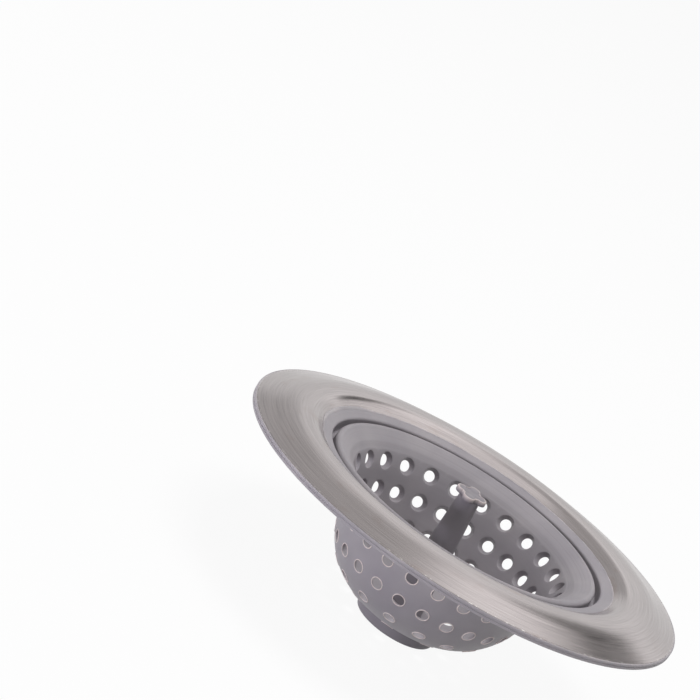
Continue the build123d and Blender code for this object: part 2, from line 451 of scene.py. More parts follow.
@dataclass(frozen=True)
class BrushedSteel:
    """Stainless sheet, brushed in circles about the axis.

    Args:
        base, streak, stain, edge_glint: colours of the metal, of the finer streaks, of the faint
        warm marks, and of the painted highlight glints in flecks along the outer edge.
        streak_share, stain_share: how much of their colours the streaks and marks take on.
        streak_cut, stain_cut, glint_cut: between which values of their noise they set in.
        edge_r: radius of the outer edge.
        edge_width: how far from it the painted highlight glints reach.
        roughness: mean roughness.
        line_rough, cloud_rough: how much it differs between broad lines and between regions.
        anisotropy: how much the brushing draws out the reflections.
        line_run, stain_run, cloud_run: how often each changes on its way round.
        broad_lines: how many fine lines lie in a broad one.
        fine_share: share of the fine lines in the relief.
        scratch_depth: depth of the brushing.
    """

    base: Colour = srgb(191, 183, 182)
    streak: Colour = srgb(160, 153, 153)
    streak_share: float = 0.8
    streak_cut: Point = (0.35, 0.75)
    stain: Colour = srgb(168, 152, 146)
    stain_share: float = 0.5
    stain_cut: Point = (0.58, 0.8)
    stain_run: float = 5.0
    stains_per_metre: float = 260.0
    # Painted highlight: near-white glints in flecks along the outer edge, and their noise.
    edge_glint: Colour = srgb(226, 222, 218)
    glint_cut: Point = (0.56, 0.62)
    glints_per_metre: float = 900.0
    edge_r: float = 57.0 * MM
    edge_width: float = 0.5 * MM
    roughness: float = 0.22
    line_rough: float = 0.10
    cloud_rough: float = 0.08
    cloud_run: float = 2.2
    clouds_per_metre: float = 160.0
    anisotropy: float = 0.7
    lines_per_metre: float = 7000.0
    line_run: float = 3.0
    broad_lines: float = 9.0
    fine_share: float = 0.7
    scratch_depth: float = 0.012 * MM

    def material(self) -> Material:
        """Builds the material."""
        material, graph = new_material("brushed_steel_in_circles")
        here, x, y, z, radius = graph.place()
        along = radius + z

        def brushed(per_metre: float, run: float, **options: float) -> Flow:
            """Noise that is drawn out round the axis."""
            run_round = run / radius
            drawn_out = graph.vector(along * per_metre, x * run_round, y * run_round)
            return graph.noise(drawn_out, **options)

        fine = brushed(self.lines_per_metre, self.line_run, detail=3.0, roughness=0.65)
        broad = brushed(self.lines_per_metre / self.broad_lines, self.line_run)
        cloud = brushed(self.clouds_per_metre, self.cloud_run, detail=3.0)
        marks = brushed(self.stains_per_metre, self.stain_run, detail=3.0)
        # Painted highlight: pale glints in flecks along the outer edge, where its bend catches the light.
        glints = graph.noise(here, scale=self.glints_per_metre, detail=3.0, roughness=0.7)
        edge = radius.near(self.edge_r, self.edge_width)
        colour = graph.mix(fine.between(*self.streak_cut) * self.streak_share, self.base, self.streak)
        colour = graph.mix(marks.between(*self.stain_cut) * self.stain_share, colour, self.stain)
        colour = graph.mix(edge * glints.between(*self.glint_cut), colour, self.edge_glint)
        rough = self.roughness + (broad - 0.5) * self.line_rough + (cloud - 0.5) * self.cloud_rough
        relief = fine * self.fine_share + broad * (1 - self.fine_share)
        finish_with(graph, graph.node("ShaderNodeBsdfPrincipled", {
            "Base Color": colour,
            "Metallic": 1.0,
            "Roughness": rough,
            "Anisotropic": self.anisotropy,
            "Anisotropic Rotation": 0.25,
            "Normal": graph.bump(relief, self.scratch_depth),
        }))
        return material


@dataclass(frozen=True)
class Silicone:
    """Matt moulded silicone.

    Args:
        name: name of the material.
        base, pale: its colours where it is plain, and in the pale clouds and the painted highlight rings.
        painted_rings: radius and half width of each ring painted paler as a highlight.
        lip: colour of the painted highlight on the thin lips round the holes and on the cap's edge.
        worn_share: how much of the pale colour lies over all in clouds.
        worn_cut, painted_ring_cut: between which values of the clouds the pale clouds and the painted rings
            set in.
        roughness: mean roughness.
        cloud_rough: how much it differs between regions.
        grain_depth, ring_depth: depths of the mould's fine grain and of the moulding rings.
        ring_run: how often a ring changes on its way round.
        specular: strength of the sheen.
        depth_light, depth_reach: how much light goes into it, and how far.
    """

    name: str
    base: Colour
    pale: Colour
    # Rings painted paler as highlights, by radius and half width.
    painted_rings: tuple[Point, ...] = ()
    # Painted highlight colour for the hole lips and the cap's edge.
    lip: Colour = srgb(226, 213, 208)
    worn_share: float = 0.25
    worn_cut: Point = (0.3, 0.8)
    painted_ring_cut: Point = (0.3, 0.7)
    roughness: float = 0.48
    cloud_rough: float = 0.14
    clouds_per_metre: float = 70.0
    grain_depth: float = 0.003 * MM
    grains_per_metre: float = 4500.0
    ring_depth: float = 0.060 * MM
    rings_per_metre: float = 1500.0
    ring_run: float = 0.7
    specular: float = 0.42
    depth_light: float = 0.12
    depth_reach: float = 1.2 * MM

    def material(self) -> Material:
        """Builds the material."""
        material, graph = new_material(self.name)
        here, x, y, _, radius = graph.place()
        grain = graph.noise(here, scale=self.grains_per_metre)
        cloud = graph.noise(here, scale=self.clouds_per_metre, detail=3.0)
        run = self.ring_run / radius
        rings = graph.noise(graph.vector(radius * self.rings_per_metre, x * run, y * run), roughness=0.6)
        pale_and_highlight = cloud.between(*self.worn_cut) * self.worn_share
        # Painted highlights: these rings are painted paler, made ragged by the clouds.
        for middle, width in self.painted_rings:
            pale_and_highlight = pale_and_highlight + radius.near(middle, width) * cloud.between(*self.painted_ring_cut)
        # Painted highlight: the hole lips and the cap's edge take the lip colour.
        lip = graph.node("ShaderNodeAttribute", attribute_name=LIP_HIGHLIGHT).out("Fac")
        finish_with(graph, graph.node("ShaderNodeBsdfPrincipled", {
            "Base Color": graph.mix(lip, graph.mix(pale_and_highlight, self.base, self.pale), self.lip),
            "Roughness": self.roughness + (cloud - 0.5) * self.cloud_rough,
            "Specular IOR Level": self.specular,
            "Subsurface Weight": self.depth_light,
            "Subsurface Radius": (1.0, 0.8, 0.8),
            "Subsurface Scale": self.depth_reach,
            "Normal": graph.bump(grain * (self.grain_depth / self.ring_depth) + rings, self.ring_depth),
        }))
        return material


# The strainer


@dataclass
class SteelRim:
    """The pressed ring, from its outer edge over the crest down into the silicone."""

    edge_r: float = 57.0 * MM
    edge_z: float = 33.45 * MM
    sheet: float = 0.6 * MM
    skirt_slope: float = 17.0
    skirt_inner_r: float = 51.3 * MM
    crest_outer_r: float = 45.5 * MM
    crest_inner_r: float = 44.0 * MM
    curl_r: float = 4.6 * MM
    curl_slope: float = 32.7
    seam_r: float = 39.8 * MM
    tail: float = 1.0 * MM
    step: float = 0.35 * MM

    def route(self) -> Route:
        """Top face of the sheet, from its outer edge inwards."""
        slope = radians(self.skirt_slope)
        shoulder_r = (self.skirt_inner_r - self.crest_outer_r) / sin(slope)
        route = Route((self.edge_r, self.edge_z), 180 - self.skirt_slope)
        route.straight((self.edge_r - self.skirt_inner_r) / cos(slope))
        route.arc(shoulder_r, self.skirt_slope)
        route.straight(self.crest_outer_r - self.crest_inner_r)
        route.arc(self.curl_r, self.curl_slope)
        to_seam = route.at(route.length)[0][0] - self.seam_r
        return route.straight(to_seam / cos(radians(self.curl_slope)) + self.tail)

    @property
    def seam_z(self) -> float:
        """Height of the steel's top face where it goes into the silicone."""
        route = self.route()
        return route.at(route.length - self.tail)[0][1]

    def build(self, finish: BrushedSteel) -> None:
        """Makes the ring, which rides on the rim body."""
        route = self.route()
        top = route.parallel(0.0, route.length, 0.0, self.step)
        under = route.parallel(route.length, 0.0, self.sheet, self.step)
        bm = bmesh.new()
        turned_mesh(bm, top + under, closed=True, segments=2 * SEGMENTS)
        ring = object_from("brushed_steel_ring", bm, finish.material(), sharp=40.0)
        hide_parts("steel_rim")
        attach(ring, Body.RIM.value)


@dataclass
class HoleRow:
    """One row of perforations round the basket.

    Args:
        centre: distance of the holes along the basket's inner face.
        low: distance where the row's strip of wall starts.
        high: distance where it ends.
        count: holes round the basket.
    """

    centre: float
    low: float
    high: float
    count: int


@dataclass
class Basket:
    """The silicone moulding: edge bead, lining, collar, groove, sloping band and perforated bowl."""

    steel: SteelRim
    rim_r: float = 57.5 * MM
    land_z: float = 32.0 * MM
    land_width: float = 2.1 * MM
    edge_top_drop: float = 0.05 * MM
    edge_top_round: float = 0.4 * MM
    edge_lower_round: float = 0.25 * MM
    parting_share: float = 0.54
    parting_half: float = 0.18 * MM
    parting_depth: float = 0.16 * MM
    parting_round: float = 0.04 * MM
    parting_root: float = 0.05 * MM
    soft_corner: float = 0.1 * MM
    base_rise: float = 0.3 * MM
    lining: float = 0.9 * MM
    lining_overlap: float = 0.35 * MM
    lining_stop: float = 0.9 * MM
    hidden_step: float = 0.8 * MM
    bond_line: float = 0.02 * MM
    spigot_r: float = 37.9 * MM
    spigot_round: float = 0.6 * MM
    channel_wall: float = 1.15 * MM
    groove_width: float = 1.15 * MM
    groove_drop: float = 1.4 * MM
    groove_round_share: float = 0.45
    collar_root_rise: float = 0.12 * MM
    collar_root_round: float = 0.15 * MM
    band_root_round: float = 0.3 * MM
    crease_blend: float = 0.7 * MM
    crease_blend_share: float = 0.7
    crease_round: float = 0.4 * MM
    collar_rise: float = 1.6 * MM
    collar_round: float = 0.7 * MM
    flash_width: float = 0.5 * MM
    flash_rise: float = 0.09 * MM
    flash_lead: float = 0.3
    flash_ragged: float = 0.14 * MM
    flash_bulge: float = 0.5 * MM
    flash_side: float = 172.0
    flash_spread: float = 26.0
    flash_edge: float = 2.5
    flash_reach: float = 0.2 * MM
    flash_waves: tuple[Point, ...] = ((23, 1.0), (57, 2.0))     # how many round, and where they start
    ridge_round: float = 1.15 * MM
    ridge_rise: float = 1.45 * MM
    wall: float = 1.15 * MM
    band_width: float = 6.3 * MM
    fine_line: float = 1.3 * MM
    fine_line_depth: float = 0.035 * MM
    mouth_drop: float = 1.6 * MM
    flare_rise: float = 5.4 * MM
    flare_reach: float = 2.52 * MM
    wall_draft: float = 17.2
    bend_share: float = 0.58
    floor_z: float = 3.85 * MM
    floor_step: float = 0.9 * MM
    hub_r: float = 4.65 * MM
    hub_edge: float = 0.3 * MM
    hole_r: float = 1.42 * MM
    hole_mouth_r: float = 2.1 * MM
    hole_round: float = 0.2 * MM
    hole_lip: float = 0.30 * MM
    hole_lip_rise: float = 0.16 * MM
    hole_lip_shape: tuple[Point, ...] = ((0.2, 0.8), (0.5, 1.0), (0.8, 0.6))    # shares of both
    hole_lip_root: float = 0.02 * MM
    row_start: float = 6.1 * MM
    row_end: float = 2.8 * MM
    row_counts: tuple[int, ...] = (8, 16, 24, 24, 24)
    tile_shares: tuple[float, ...] = (0.0, 0.4, 0.75, 1.0)
    tile_height_steps: int = 6
    # Widths and shift of the rings painted paler as highlights on the bead and on the seam's flash.
    edge_highlight_width: float = 0.35 * MM
    seam_highlight_width: float = 0.6 * MM
    seam_highlight_shift: float = 0.1 * MM

    @property
    def painted_highlight_rings(self) -> tuple[Point, ...]:
        """Rings painted paler as highlights: on the bead at the steel's edge, and on the thin flash at its
        seam.
        """
        flash_r = self.steel.seam_r + self.seam_highlight_shift
        return (self.steel.edge_r, self.edge_highlight_width), (flash_r, self.seam_highlight_width)

    @property
    def groove_inner_r(self) -> float:
        """Inner wall of the flexing groove."""
        return self.spigot_r - self.channel_wall - self.groove_width

    @property
    def mouth_r(self) -> float:
        """The crease between the sloping band and the bowl."""
        return self.groove_inner_r - self.band_width

    @property
    def band_slope(self) -> float:
        """Slope of the sloping band in radians, with which it runs into the ridge."""
        across = self.groove_inner_r - self.ridge_round - self.mouth_r
        up = self.ridge_rise - self.ridge_round + self.mouth_drop
        return atan2(up, across) + asin(self.ridge_round / hypot(across, up))

    def wall_route(self) -> Route:
        """Inner face of the bowl, from the middle of the floor up to the crease at its mouth."""
        rise = 90 - self.wall_draft
        draft = radians(self.wall_draft)
        bend_r = self.bend_share * self.mouth_r
        flare_z = self.land_z - self.mouth_drop - self.flare_rise
        straight_rise = flare_z - self.floor_z - bend_r * (1 - sin(draft))
        flat = self.mouth_r - self.flare_reach - straight_rise * tan(draft) - bend_r * cos(draft)
        route = Route((0.0, self.floor_z), 0.0).straight(flat).arc(bend_r, rise)
        route.straight(straight_rise / cos(draft))
        chord = hypot(self.flare_reach, self.flare_rise)
        turn = 2 * (rise - degrees(atan2(self.flare_rise, self.flare_reach)))
        return route.arc(chord / (2 * sin(radians(turn / 2))), -turn)

    def rows(self, route: Route) -> Iterator[HoleRow]:
        """The rows from the floor up, each with its strip of wall."""
        first = route.move_length(0) + self.row_start
        last = len(self.row_counts) - 1
        pitch = (route.length - self.row_end - first) / last
        for index, count in enumerate(self.row_counts):
            centre = first + index * pitch
            yield HoleRow(
                centre=centre,
                low=centre - pitch / 2,
                high=route.length if index == last else centre + pitch / 2,
                count=count,
            )

    def top_outline(self, route: Route) -> list[Point]:
        """What is seen from inside above the bowl, from the crease out to the steel's seam."""
        crease_r, crease_z = route.at(route.length)[0]
        climb = tan(self.band_slope)
        groove_outer = self.spigot_r - self.channel_wall
        groove_floor = self.land_z - self.groove_drop
        floor_round = self.groove_round_share * self.groove_width
        collar_z = self.land_z + self.collar_rise
        seam_r, seam_z = self.steel.seam_r, self.steel.seam_z
        line_r = self.mouth_r + self.fine_line
        line_z = crease_z + self.fine_line * climb
        flash_r = seam_r - self.flash_width
        flash_z = collar_z + (seam_z - collar_z) * (flash_r - groove_outer) / (seam_r - groove_outer)
        return rounded([
            (crease_r, crease_z, 0.0),
            (line_r - self.fine_line_depth, line_z - 2 * self.fine_line_depth * climb, 0.0),
            (line_r, line_z + self.fine_line_depth / 2, 0.0),
            (line_r + self.flash_width, line_z + self.flash_width * climb, 0.0),
            (self.groove_inner_r, crease_z + self.band_width * climb, self.ridge_round),
            (self.groove_inner_r, groove_floor, floor_round),
            (groove_outer, groove_floor, floor_round),
            (groove_outer, collar_z, self.collar_round),
            (flash_r, flash_z, self.soft_corner),
            (seam_r - self.flash_lead * self.flash_width, seam_z + self.flash_rise, self.soft_corner),
            (seam_r, seam_z - self.bond_line, 0.0),
        ])

    def bead_outline(self) -> list[Point]:
        """The edge bead with its parting line, from the steel's edge round to the lining."""
        land, rim_r = self.land_z, self.rim_r
        edge_top = self.steel.edge_z - self.edge_top_drop
        parting = land + self.parting_share * (edge_top - land)
        lining_z = self.steel.route().beside(0.0, self.steel.sheet + self.lining)[1]
        inner_r = rim_r - self.land_width
        return rounded([
            (self.steel.edge_r, edge_top - self.bond_line, 0.0),
            (rim_r, edge_top, self.edge_top_round),
            (rim_r, parting + self.parting_half, self.parting_round),
            (rim_r - self.parting_depth, parting, self.parting_root),
            (rim_r, parting - self.parting_half, self.parting_round),
            (rim_r, land, self.edge_lower_round),
            (inner_r, land, self.soft_corner),
            (inner_r, max(lining_z, land + self.base_rise), 0.0),
        ])

    def under_outline(self, route: Route) -> list[Point]:
        """The lining, the channel and the band from below, in to the crease's outer side."""
        steel = self.steel.route()
        start = (self.land_width - self.lining_overlap) / cos(radians(self.steel.skirt_slope))
        end = steel.length - self.steel.tail - self.lining_stop
        lining = steel.parallel(start, end, self.steel.sheet + self.lining, self.hidden_step)
        collar_base = self.land_z + self.base_rise
        spigot_base = self.land_z - self.groove_drop - self.channel_wall
        inner_side = self.groove_inner_r - self.channel_wall
        slope = self.band_slope
        crease_r, crease_z = route.at(route.length)[0]
        outer_r, outer_z = route.beside(route.length, -self.wall)
        band_under_z = crease_z + (inner_side - crease_r) * tan(slope) - self.wall / cos(slope)
        blend_z = outer_z + self.crease_blend * tan(slope) * self.crease_blend_share
        return lining + rounded([
            (self.steel.seam_r, collar_base + self.collar_root_rise, 0.0),
            (self.spigot_r, collar_base, self.collar_root_round),
            (self.spigot_r, spigot_base, self.spigot_round),
            (inner_side, spigot_base, self.spigot_round),
            (inner_side, band_under_z, self.band_root_round),
            (outer_r + self.crease_blend, blend_z, self.crease_round),
            (outer_r, outer_z, 0.0),
        ])

    def rim_outline(self, route: Route) -> list[Point]:
        """The whole section above the bowl, from the crease's inner side round to its outer side."""
        steel = self.steel.route()
        held = [steel.beside(steel.length, -self.bond_line)]
        held += steel.parallel(steel.length, 0.0, self.steel.sheet + self.bond_line, self.hidden_step)
        return self.top_outline(route) + held + self.bead_outline() + self.under_outline(route)

    def floor_outline(self, route: Route) -> list[Point]:
        """The floor inside the lowest row of holes, round the hub's hole."""
        first = next(iter(self.rows(route)))
        near_hub = self.hub_r + self.hub_edge
        above = route.parallel(first.low, near_hub, 0.0, self.floor_step)
        below = route.parallel(near_hub, first.low, -self.wall, self.floor_step)
        return above + [(self.hub_r, self.floor_z), (self.hub_r, self.floor_z - self.wall)] + below

    def tile(self, route: Route, row: HoleRow) -> Object:
        """One hole with its patch of wall, laid flat.

        Args:
            route: the bowl's inner face.
            row: the row that the hole is in.

        Returns:
            A helper object: x is the angle round the axis, y the distance along the inner face
            and z the depth into the wall.
        """
        half = pi / row.count
        corners = ((-half, row.low), (half, row.low), (half, row.high), (-half, row.high))
        steps = (SEGMENTS // row.count, self.tile_height_steps) * 2
        border: list[Point] = []
        for (x, y), (next_x, next_y), count in zip(corners, corners[1:] + corners[:1], steps):
            border += [(x + (next_x - x) * k / count, y + (next_y - y) * k / count) for k in range(count)]
        middle_r = route.at(row.centre)[0][0]
        bm = bmesh.new()
        lip_highlight_share = bm.verts.layers.float.new(LIP_HIGHLIGHT)
        loops = []
        for share, size, depth in self.tile_rings():
            stretch = self.depth_stretch(route, row.centre, depth)
            loop = []
            for angle, distance in border:
                facing = atan2(distance - row.centre, angle * middle_r)
                dx, dy = size * cos(facing), size * sin(facing)
                (r, _), heading = route.at(row.centre + dy)
                local_r = r + depth * sin(radians(heading))
                hole = (dx / local_r, row.centre + dy / stretch)
                loop.append(bm.verts.new((
                    angle + (hole[0] - angle) * share,
                    distance + (hole[1] - distance) * share,
                    depth,
                )))
                # Painted highlight: points on the raised lip get 1.
                loop[-1][lip_highlight_share] = 1.0 if depth > self.wall + 0.5 * self.hole_lip_rise else 0.0
            loops.append(loop)
        bridge(bm, loops)
        return linked("hole_patch", mesh_from("hole_patch", bm))

    def tile_rings(self) -> list[Place]:
        """The rings of points from a patch's inner border through the hole to its outer border.

        Returns:
            For each ring: its share of the way from the border to the hole, the hole's radius
            and the depth into the wall.
        """
        rings = [(share, self.hole_mouth_r + self.hole_round, 0.0) for share in self.tile_shares]
        for angle in (radians(22.5 * k) for k in range(1, 5)):
            size = self.hole_mouth_r + self.hole_round * (1 - sin(angle))
            rings.append((1.0, size, self.hole_round * (1 - cos(angle))))
        rings.append((1.0, self.hole_r, self.wall - self.hole_lip_root))
        for width, height in self.hole_lip_shape:
            size = self.hole_r + width * self.hole_lip
            rings.append((1.0, size, self.wall + height * self.hole_lip_rise))
        return rings + [(share, self.hole_r + self.hole_lip, self.wall) for share in self.tile_shares[::-1]]

    def depth_stretch(self, route: Route, distance: float, depth: float) -> float:
        """How much longer the wall is at a depth than on its inner face, on a bend."""
        probe = 0.2 * MM
        bend = radians(route.at(distance + probe)[1] - route.at(distance - probe)[1]) / (2 * probe)
        return 1 + bend * depth

    def section_curve(self, route: Route) -> Object:
        """The bowl's inner face as a curve in the XZ plane, for the node tree to follow."""
        curve = bpy.data.curves.new("bowl_section", "CURVE")
        curve.dimensions = "3D"
        points = route.parallel(0.0, route.length, 0.0, 0.05 * MM)
        spline = curve.splines.new("POLY")
        spline.points.add(len(points) - 1)
        for target, (r, z) in zip(spline.points, points):
            target.co = (r, 0.0, z, 1.0)
        return linked("bowl_section", curve)

    def perforated_wall(self, route: Route) -> Mesh:
        """The wall with all its holes, wrapped round the section by Geometry Nodes."""
        rows = list(self.rows(route))
        tiles = [self.tile(route, row) for row in rows]
        section = self.section_curve(route)
        settings: dict[str, Any] = {"Section": section, "Weld": WELD}
        for index, (row, tile) in enumerate(zip(rows, tiles)):
            settings |= {f"Patch {index}": tile, f"Holes {index}": row.count}
        wall = linked("perforated_wall", bpy.data.meshes.new("perforated_wall"))
        modifier = wall.modifiers.new("perforations", "NODES")
        modifier.node_group = wall_tree(len(rows))
        for item in modifier.node_group.interface.items_tree:
            if item.name in settings:
                modifier[item.identifier] = settings[item.name]
        wrapped = wall.evaluated_get(bpy.context.evaluated_depsgraph_get())
        mesh = bpy.data.meshes.new_from_object(wrapped)
        remove(wall, section, *tiles)
        return mesh

    def build(self, finish: Silicone) -> None:
        """Makes the moulding, fixed in the model's frame between the rim at its top and the plug at its
        floor.
        """
        route = self.wall_route()
        bm = bmesh.new()
        bm.from_mesh(self.perforated_wall(route))
        turned_mesh(bm, self.rim_outline(route))
        turned_mesh(bm, self.floor_outline(route))
        self.creep_flash(bm)
        basket = object_from("silicone_moulding", bm, finish.material())
        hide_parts("silicone_basket")
        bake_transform(basket)

    def creep_flash(self, bm: BMesh) -> None:
        """Lets the seam's thin flash creep out over the steel, unevenly and further at one side."""
        climb = tan(radians(self.steel.curl_slope))
        side = radians(self.flash_side)
        seam_z = self.steel.seam_z
        for vert in bm.verts:
            r = hypot(vert.co.x, vert.co.y)
            aside, off = abs(r - self.steel.seam_r), abs(vert.co.z - seam_z)
            if aside > self.flash_reach or off > 1.5 * self.flash_reach:
                continue
            angle = atan2(vert.co.y, vert.co.x)
            ragged = sum((0.25 * sin(count * angle + start) for count, start in self.flash_waves), 0.5)
            off_side = degrees((angle - side + pi) % (2 * pi) - pi)
            bulge = max(0.0, 1.0 - abs(off_side) / self.flash_spread)
            creep = self.flash_ragged * ragged + self.flash_bulge * min(1.0, self.flash_edge * bulge)
            vert.co.x *= (r + creep) / r
            vert.co.y *= (r + creep) / r
            vert.co.z += creep * climb


def row_tree() -> NodeTree:
    """The tree for one row: copies a patch round, and bends it to the section."""
    graph = Graph.group("hole_row", "Row", {"Patch": "Object", "Holes": "Int", "Section": "Object"})
    given = graph.node("NodeGroupInput")
    patch = graph.node("GeometryNodeObjectInfo", {"Object": given.out("Patch")})
    section = graph.node("GeometryNodeObjectInfo", {"Object": given.out("Section")})
    holes = given.out("Holes")
    offset = graph.vector(2 * pi / (holes * 1.0), 0.0, 0.0)
    spots = graph.node("GeometryNodeMeshLine", {"Count": holes, "Offset": offset}, mode="OFFSET")
    copies = graph.node("GeometryNodeInstanceOnPoints", {
        "Points": spots, "Instance": patch.out("Geometry")})
    flat = graph.node("GeometryNodeRealizeInstances", {0: copies})
    turn, distance, depth = graph.parts(graph.node("GeometryNodeInputPosition"))
    sample = graph.node("GeometryNodeSampleCurve", {
        "Curves": section.out("Geometry"), "Length": distance}, mode="LENGTH")
    inner_r, _, inner_z = graph.parts(sample.out("Position"))
    run, _, climb = graph.parts(sample.out("Tangent"))
    r, z = inner_r + climb * depth, inner_z - run * depth
    bent = graph.node("GeometryNodeSetPosition", {
        "Geometry": flat, "Position": graph.vector(r * turn.call("COSINE"), r * turn.call("SINE"), z)})
    graph.node("NodeGroupOutput", {"Row": bent})
    return graph.tree


def wall_tree(rows: int) -> NodeTree:
    """The tree that wraps rows of flat hole patches round the bowl's section.

    Args:
        rows: how many rows it takes.

    Returns:
        A tree whose inputs are the section, and each row's patch and number of holes.
    """
    row = row_tree()
    kinds = {"Section": "Object", "Weld": "Float"}
    for index in range(rows):
        kinds |= {f"Patch {index}": "Object", f"Holes {index}": "Int"}
    graph = Graph.group("perforated_wall", "Wall", kinds)
    given = graph.node("NodeGroupInput")
    join = graph.node("GeometryNodeJoinGeometry")
    for index in range(rows):
        made = graph.node("GeometryNodeGroup", {
            "Patch": given.out(f"Patch {index}"),
            "Holes": given.out(f"Holes {index}"),
            "Section": given.out("Section"),
        }, node_tree=row)
        graph.tree.links.new(made.socket, join.node.inputs[0])
    welded = graph.node("GeometryNodeMergeByDistance", {"Geometry": join, "Distance": given.out("Weld")})
    graph.node("NodeGroupOutput", {"Wall": graph.node("GeometryNodeRealizeInstances", {0: welded})})
    return graph.tree


@dataclass
class GripPlug:
    """The darker moulding in the middle: foot, neck, flange and post with a four-lobed cap."""

    foot_r: float = 10.4 * MM
    foot_thickness: float = 2.65 * MM
    foot_round: float = 0.7 * MM
    foot_top_round: float = 0.2 * MM
    neck_r: float = 4.6 * MM
    flange_r: float = 7.25 * MM
    flange_under: float = 3.9 * MM
    flange_thickness: float = 0.8 * MM
    flange_under_round: float = 0.1 * MM
    flange_round: float = 0.25 * MM
    post_root_round: float = 0.35 * MM
    post_base_r: float = 4.55 * MM
    post_top_r: float = 2.65 * MM
    height: float = 38.0 * MM
    cap: float = 1.35 * MM
    cap_round: float = 0.25 * MM
    cap_dome: float = 0.22 * MM
    # Share of the painted highlight colour on the cap's edge.
    cap_edge_highlight: float = 0.6
    cap_shares: tuple[float, ...] = (0.86, 0.8, 0.7, 0.6, 0.5, 0.4, 0.3, 0.2, 0.1)
    cap_tilt: float = 4.0
    lean: float = -1.3 * MM
    lean_heading: float = 4.6
    lean_bend: float = 1.5
    lobe_r: float = 1.5 * MM
    lobe_reach: float = 2.5 * MM
    lobes: int = 4
    segments: int = 128

    def off_lobe(self, angle: float) -> float:
        """Angle from the middle of the nearest lobe to a direction."""
        pitch = 2 * pi / self.lobes
        return (angle + pitch / 2) % pitch - pitch / 2

    def lobed_r(self, angle: float) -> float:
        """Radius of the cap's outline in a direction."""
        off = self.off_lobe(angle)
        inside = self.lobe_r**2 - (self.lobe_reach * sin(off)) ** 2
        lobe = self.lobe_reach * cos(off) + sqrt(inside) if inside > 0 else 0.0
        return max(lobe, self.post_top_r)

    def stem_outline(self) -> list[Point]:
        """Foot, neck, flange and post, from the middle of the underside up to the cap."""
        under = self.height - self.cap
        flange_top = self.flange_under + self.flange_thickness
        return rounded([
            (0.0, 0.0, 0.0),
            (self.foot_r, 0.0, self.foot_round),
            (self.foot_r, self.foot_thickness, self.foot_top_round),
            (self.neck_r, self.foot_thickness, 0.0),
            (self.neck_r, self.flange_under, 0.0),
            (self.flange_r, self.flange_under, self.flange_under_round),
            (self.flange_r, flange_top, self.flange_round),
            (self.post_base_r, flange_top, self.post_root_round),
            (self.post_top_r, under, 0.0),
        ])

    def cap_rings(self) -> list[Place]:
        """The cap from its underside over its edge to its middle.

        Returns:
            For each ring: its share of the lobed outline, what is added to the outline's
            radius, and its height.
        """
        under, edge = self.height - self.cap, self.cap_round
        arc = [radians(30 * k) for k in range(4)]
        rings = [(1.0, -edge * (1 - sin(a)), under + edge * (1 - cos(a))) for a in arc]
        rings += [(1.0, -edge * (1 - cos(a)), self.height - edge * (1 - sin(a))) for a in arc]
        return rings + [(share, 0.0, self.height) for share in self.cap_shares]

    def build(self, finish: Silicone) -> None:
        """Makes the plug, which rides on its own body."""
        bm = bmesh.new()
        turned_mesh(bm, self.stem_outline(), segments=self.segments)
        lip_highlight_share = bm.verts.layers.float.new(LIP_HIGHLIGHT)
        loops = [circle(bm, self.post_top_r, self.height - self.cap, self.segments)]
        for share, add, z in self.cap_rings():
            loop = []
            on_edge = share == 1 and z > self.height - self.cap / 4
            for angle in (2 * pi * k / self.segments for k in range(self.segments)):
                r = self.lobed_r(angle) * share + add
                top = z - self.crease(angle, r) if share < 1 else z
                loop.append(bm.verts.new(polar(r, angle, top)))
                # Painted highlight on the cap's edge.
                loop[-1][lip_highlight_share] = self.cap_edge_highlight if on_edge else 0.0
            loops.append(loop)
        bridge(bm, loops)
        bm.faces.new(loops[-1])
        self.settle(bm)
        plug = object_from("grip_and_foot", bm, finish.material())
        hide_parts("grip_plug")
        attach(plug, Body.PLUG.value)

    def crease(self, angle: float, r: float) -> float:
        """Depth of the cap's top at a place: each lobe is a low dome, with a cross between them."""
        along, aside, _ = polar(r, self.off_lobe(angle), 0.0)
        from_lobe = hypot(along - self.lobe_reach, aside) / self.lobe_r
        return self.cap_dome * min(1.0, from_lobe**2)

    def settle(self, bm: BMesh) -> None:
        """Leans the soft post, and tilts its cap, as the plug has taken a set."""
        under = self.height - self.cap
        foot_of_post = self.flange_under + self.flange_thickness
        right = toward(self.lean_heading)
        away = toward(self.lean_heading + 90)
        tilt = tan(radians(self.cap_tilt))
        tip = self.lobe_reach + self.lobe_r
        for vert in bm.verts:
            if vert.co.z >= under - WELD:
                vert.co.z += tilt * (vert.co.x * away[0] + vert.co.y * away[1] - tip)
            share = max(0.0, (vert.co.z - foot_of_post) / (self.height - foot_of_post))
            shift = self.lean * share**self.lean_bend
            vert.co.x += shift * right[0]
            vert.co.y += shift * right[1]


# The studio


@dataclass(frozen=True)
class Softbox:
    """A rectangular lamp that looks at the strainer, and lights only what is matt.

    Args:
        name, place: its name, and where it stands.
        size: its width and height.
        power, tint: its light in watts, and that light's colour.
    """

    name: str
    place: Place
    size: Point
    power: float
    tint: Place = (1.0, 1.0, 1.0)

    def build(self, aim: Place) -> None:
        """Makes the lamp, which faces the point aim."""
        light = bpy.data.lights.new(self.name, "AREA")
        light.shape = "RECTANGLE"
        light.size, light.size_y = self.size
        light.energy = self.power
        light.color = self.tint
        lamp = linked(self.name, light)
        lamp.visible_glossy = False
        facing = (Vector(self.place) - Vector(aim)).to_track_quat("Z", "Y").to_matrix().to_4x4()
        lamp.matrix_world = Matrix.Translation(self.place) @ facing


COOL = (0.95, 0.94, 1.06)
WHITE = (1.0, 1.0, 1.0, 1.0)


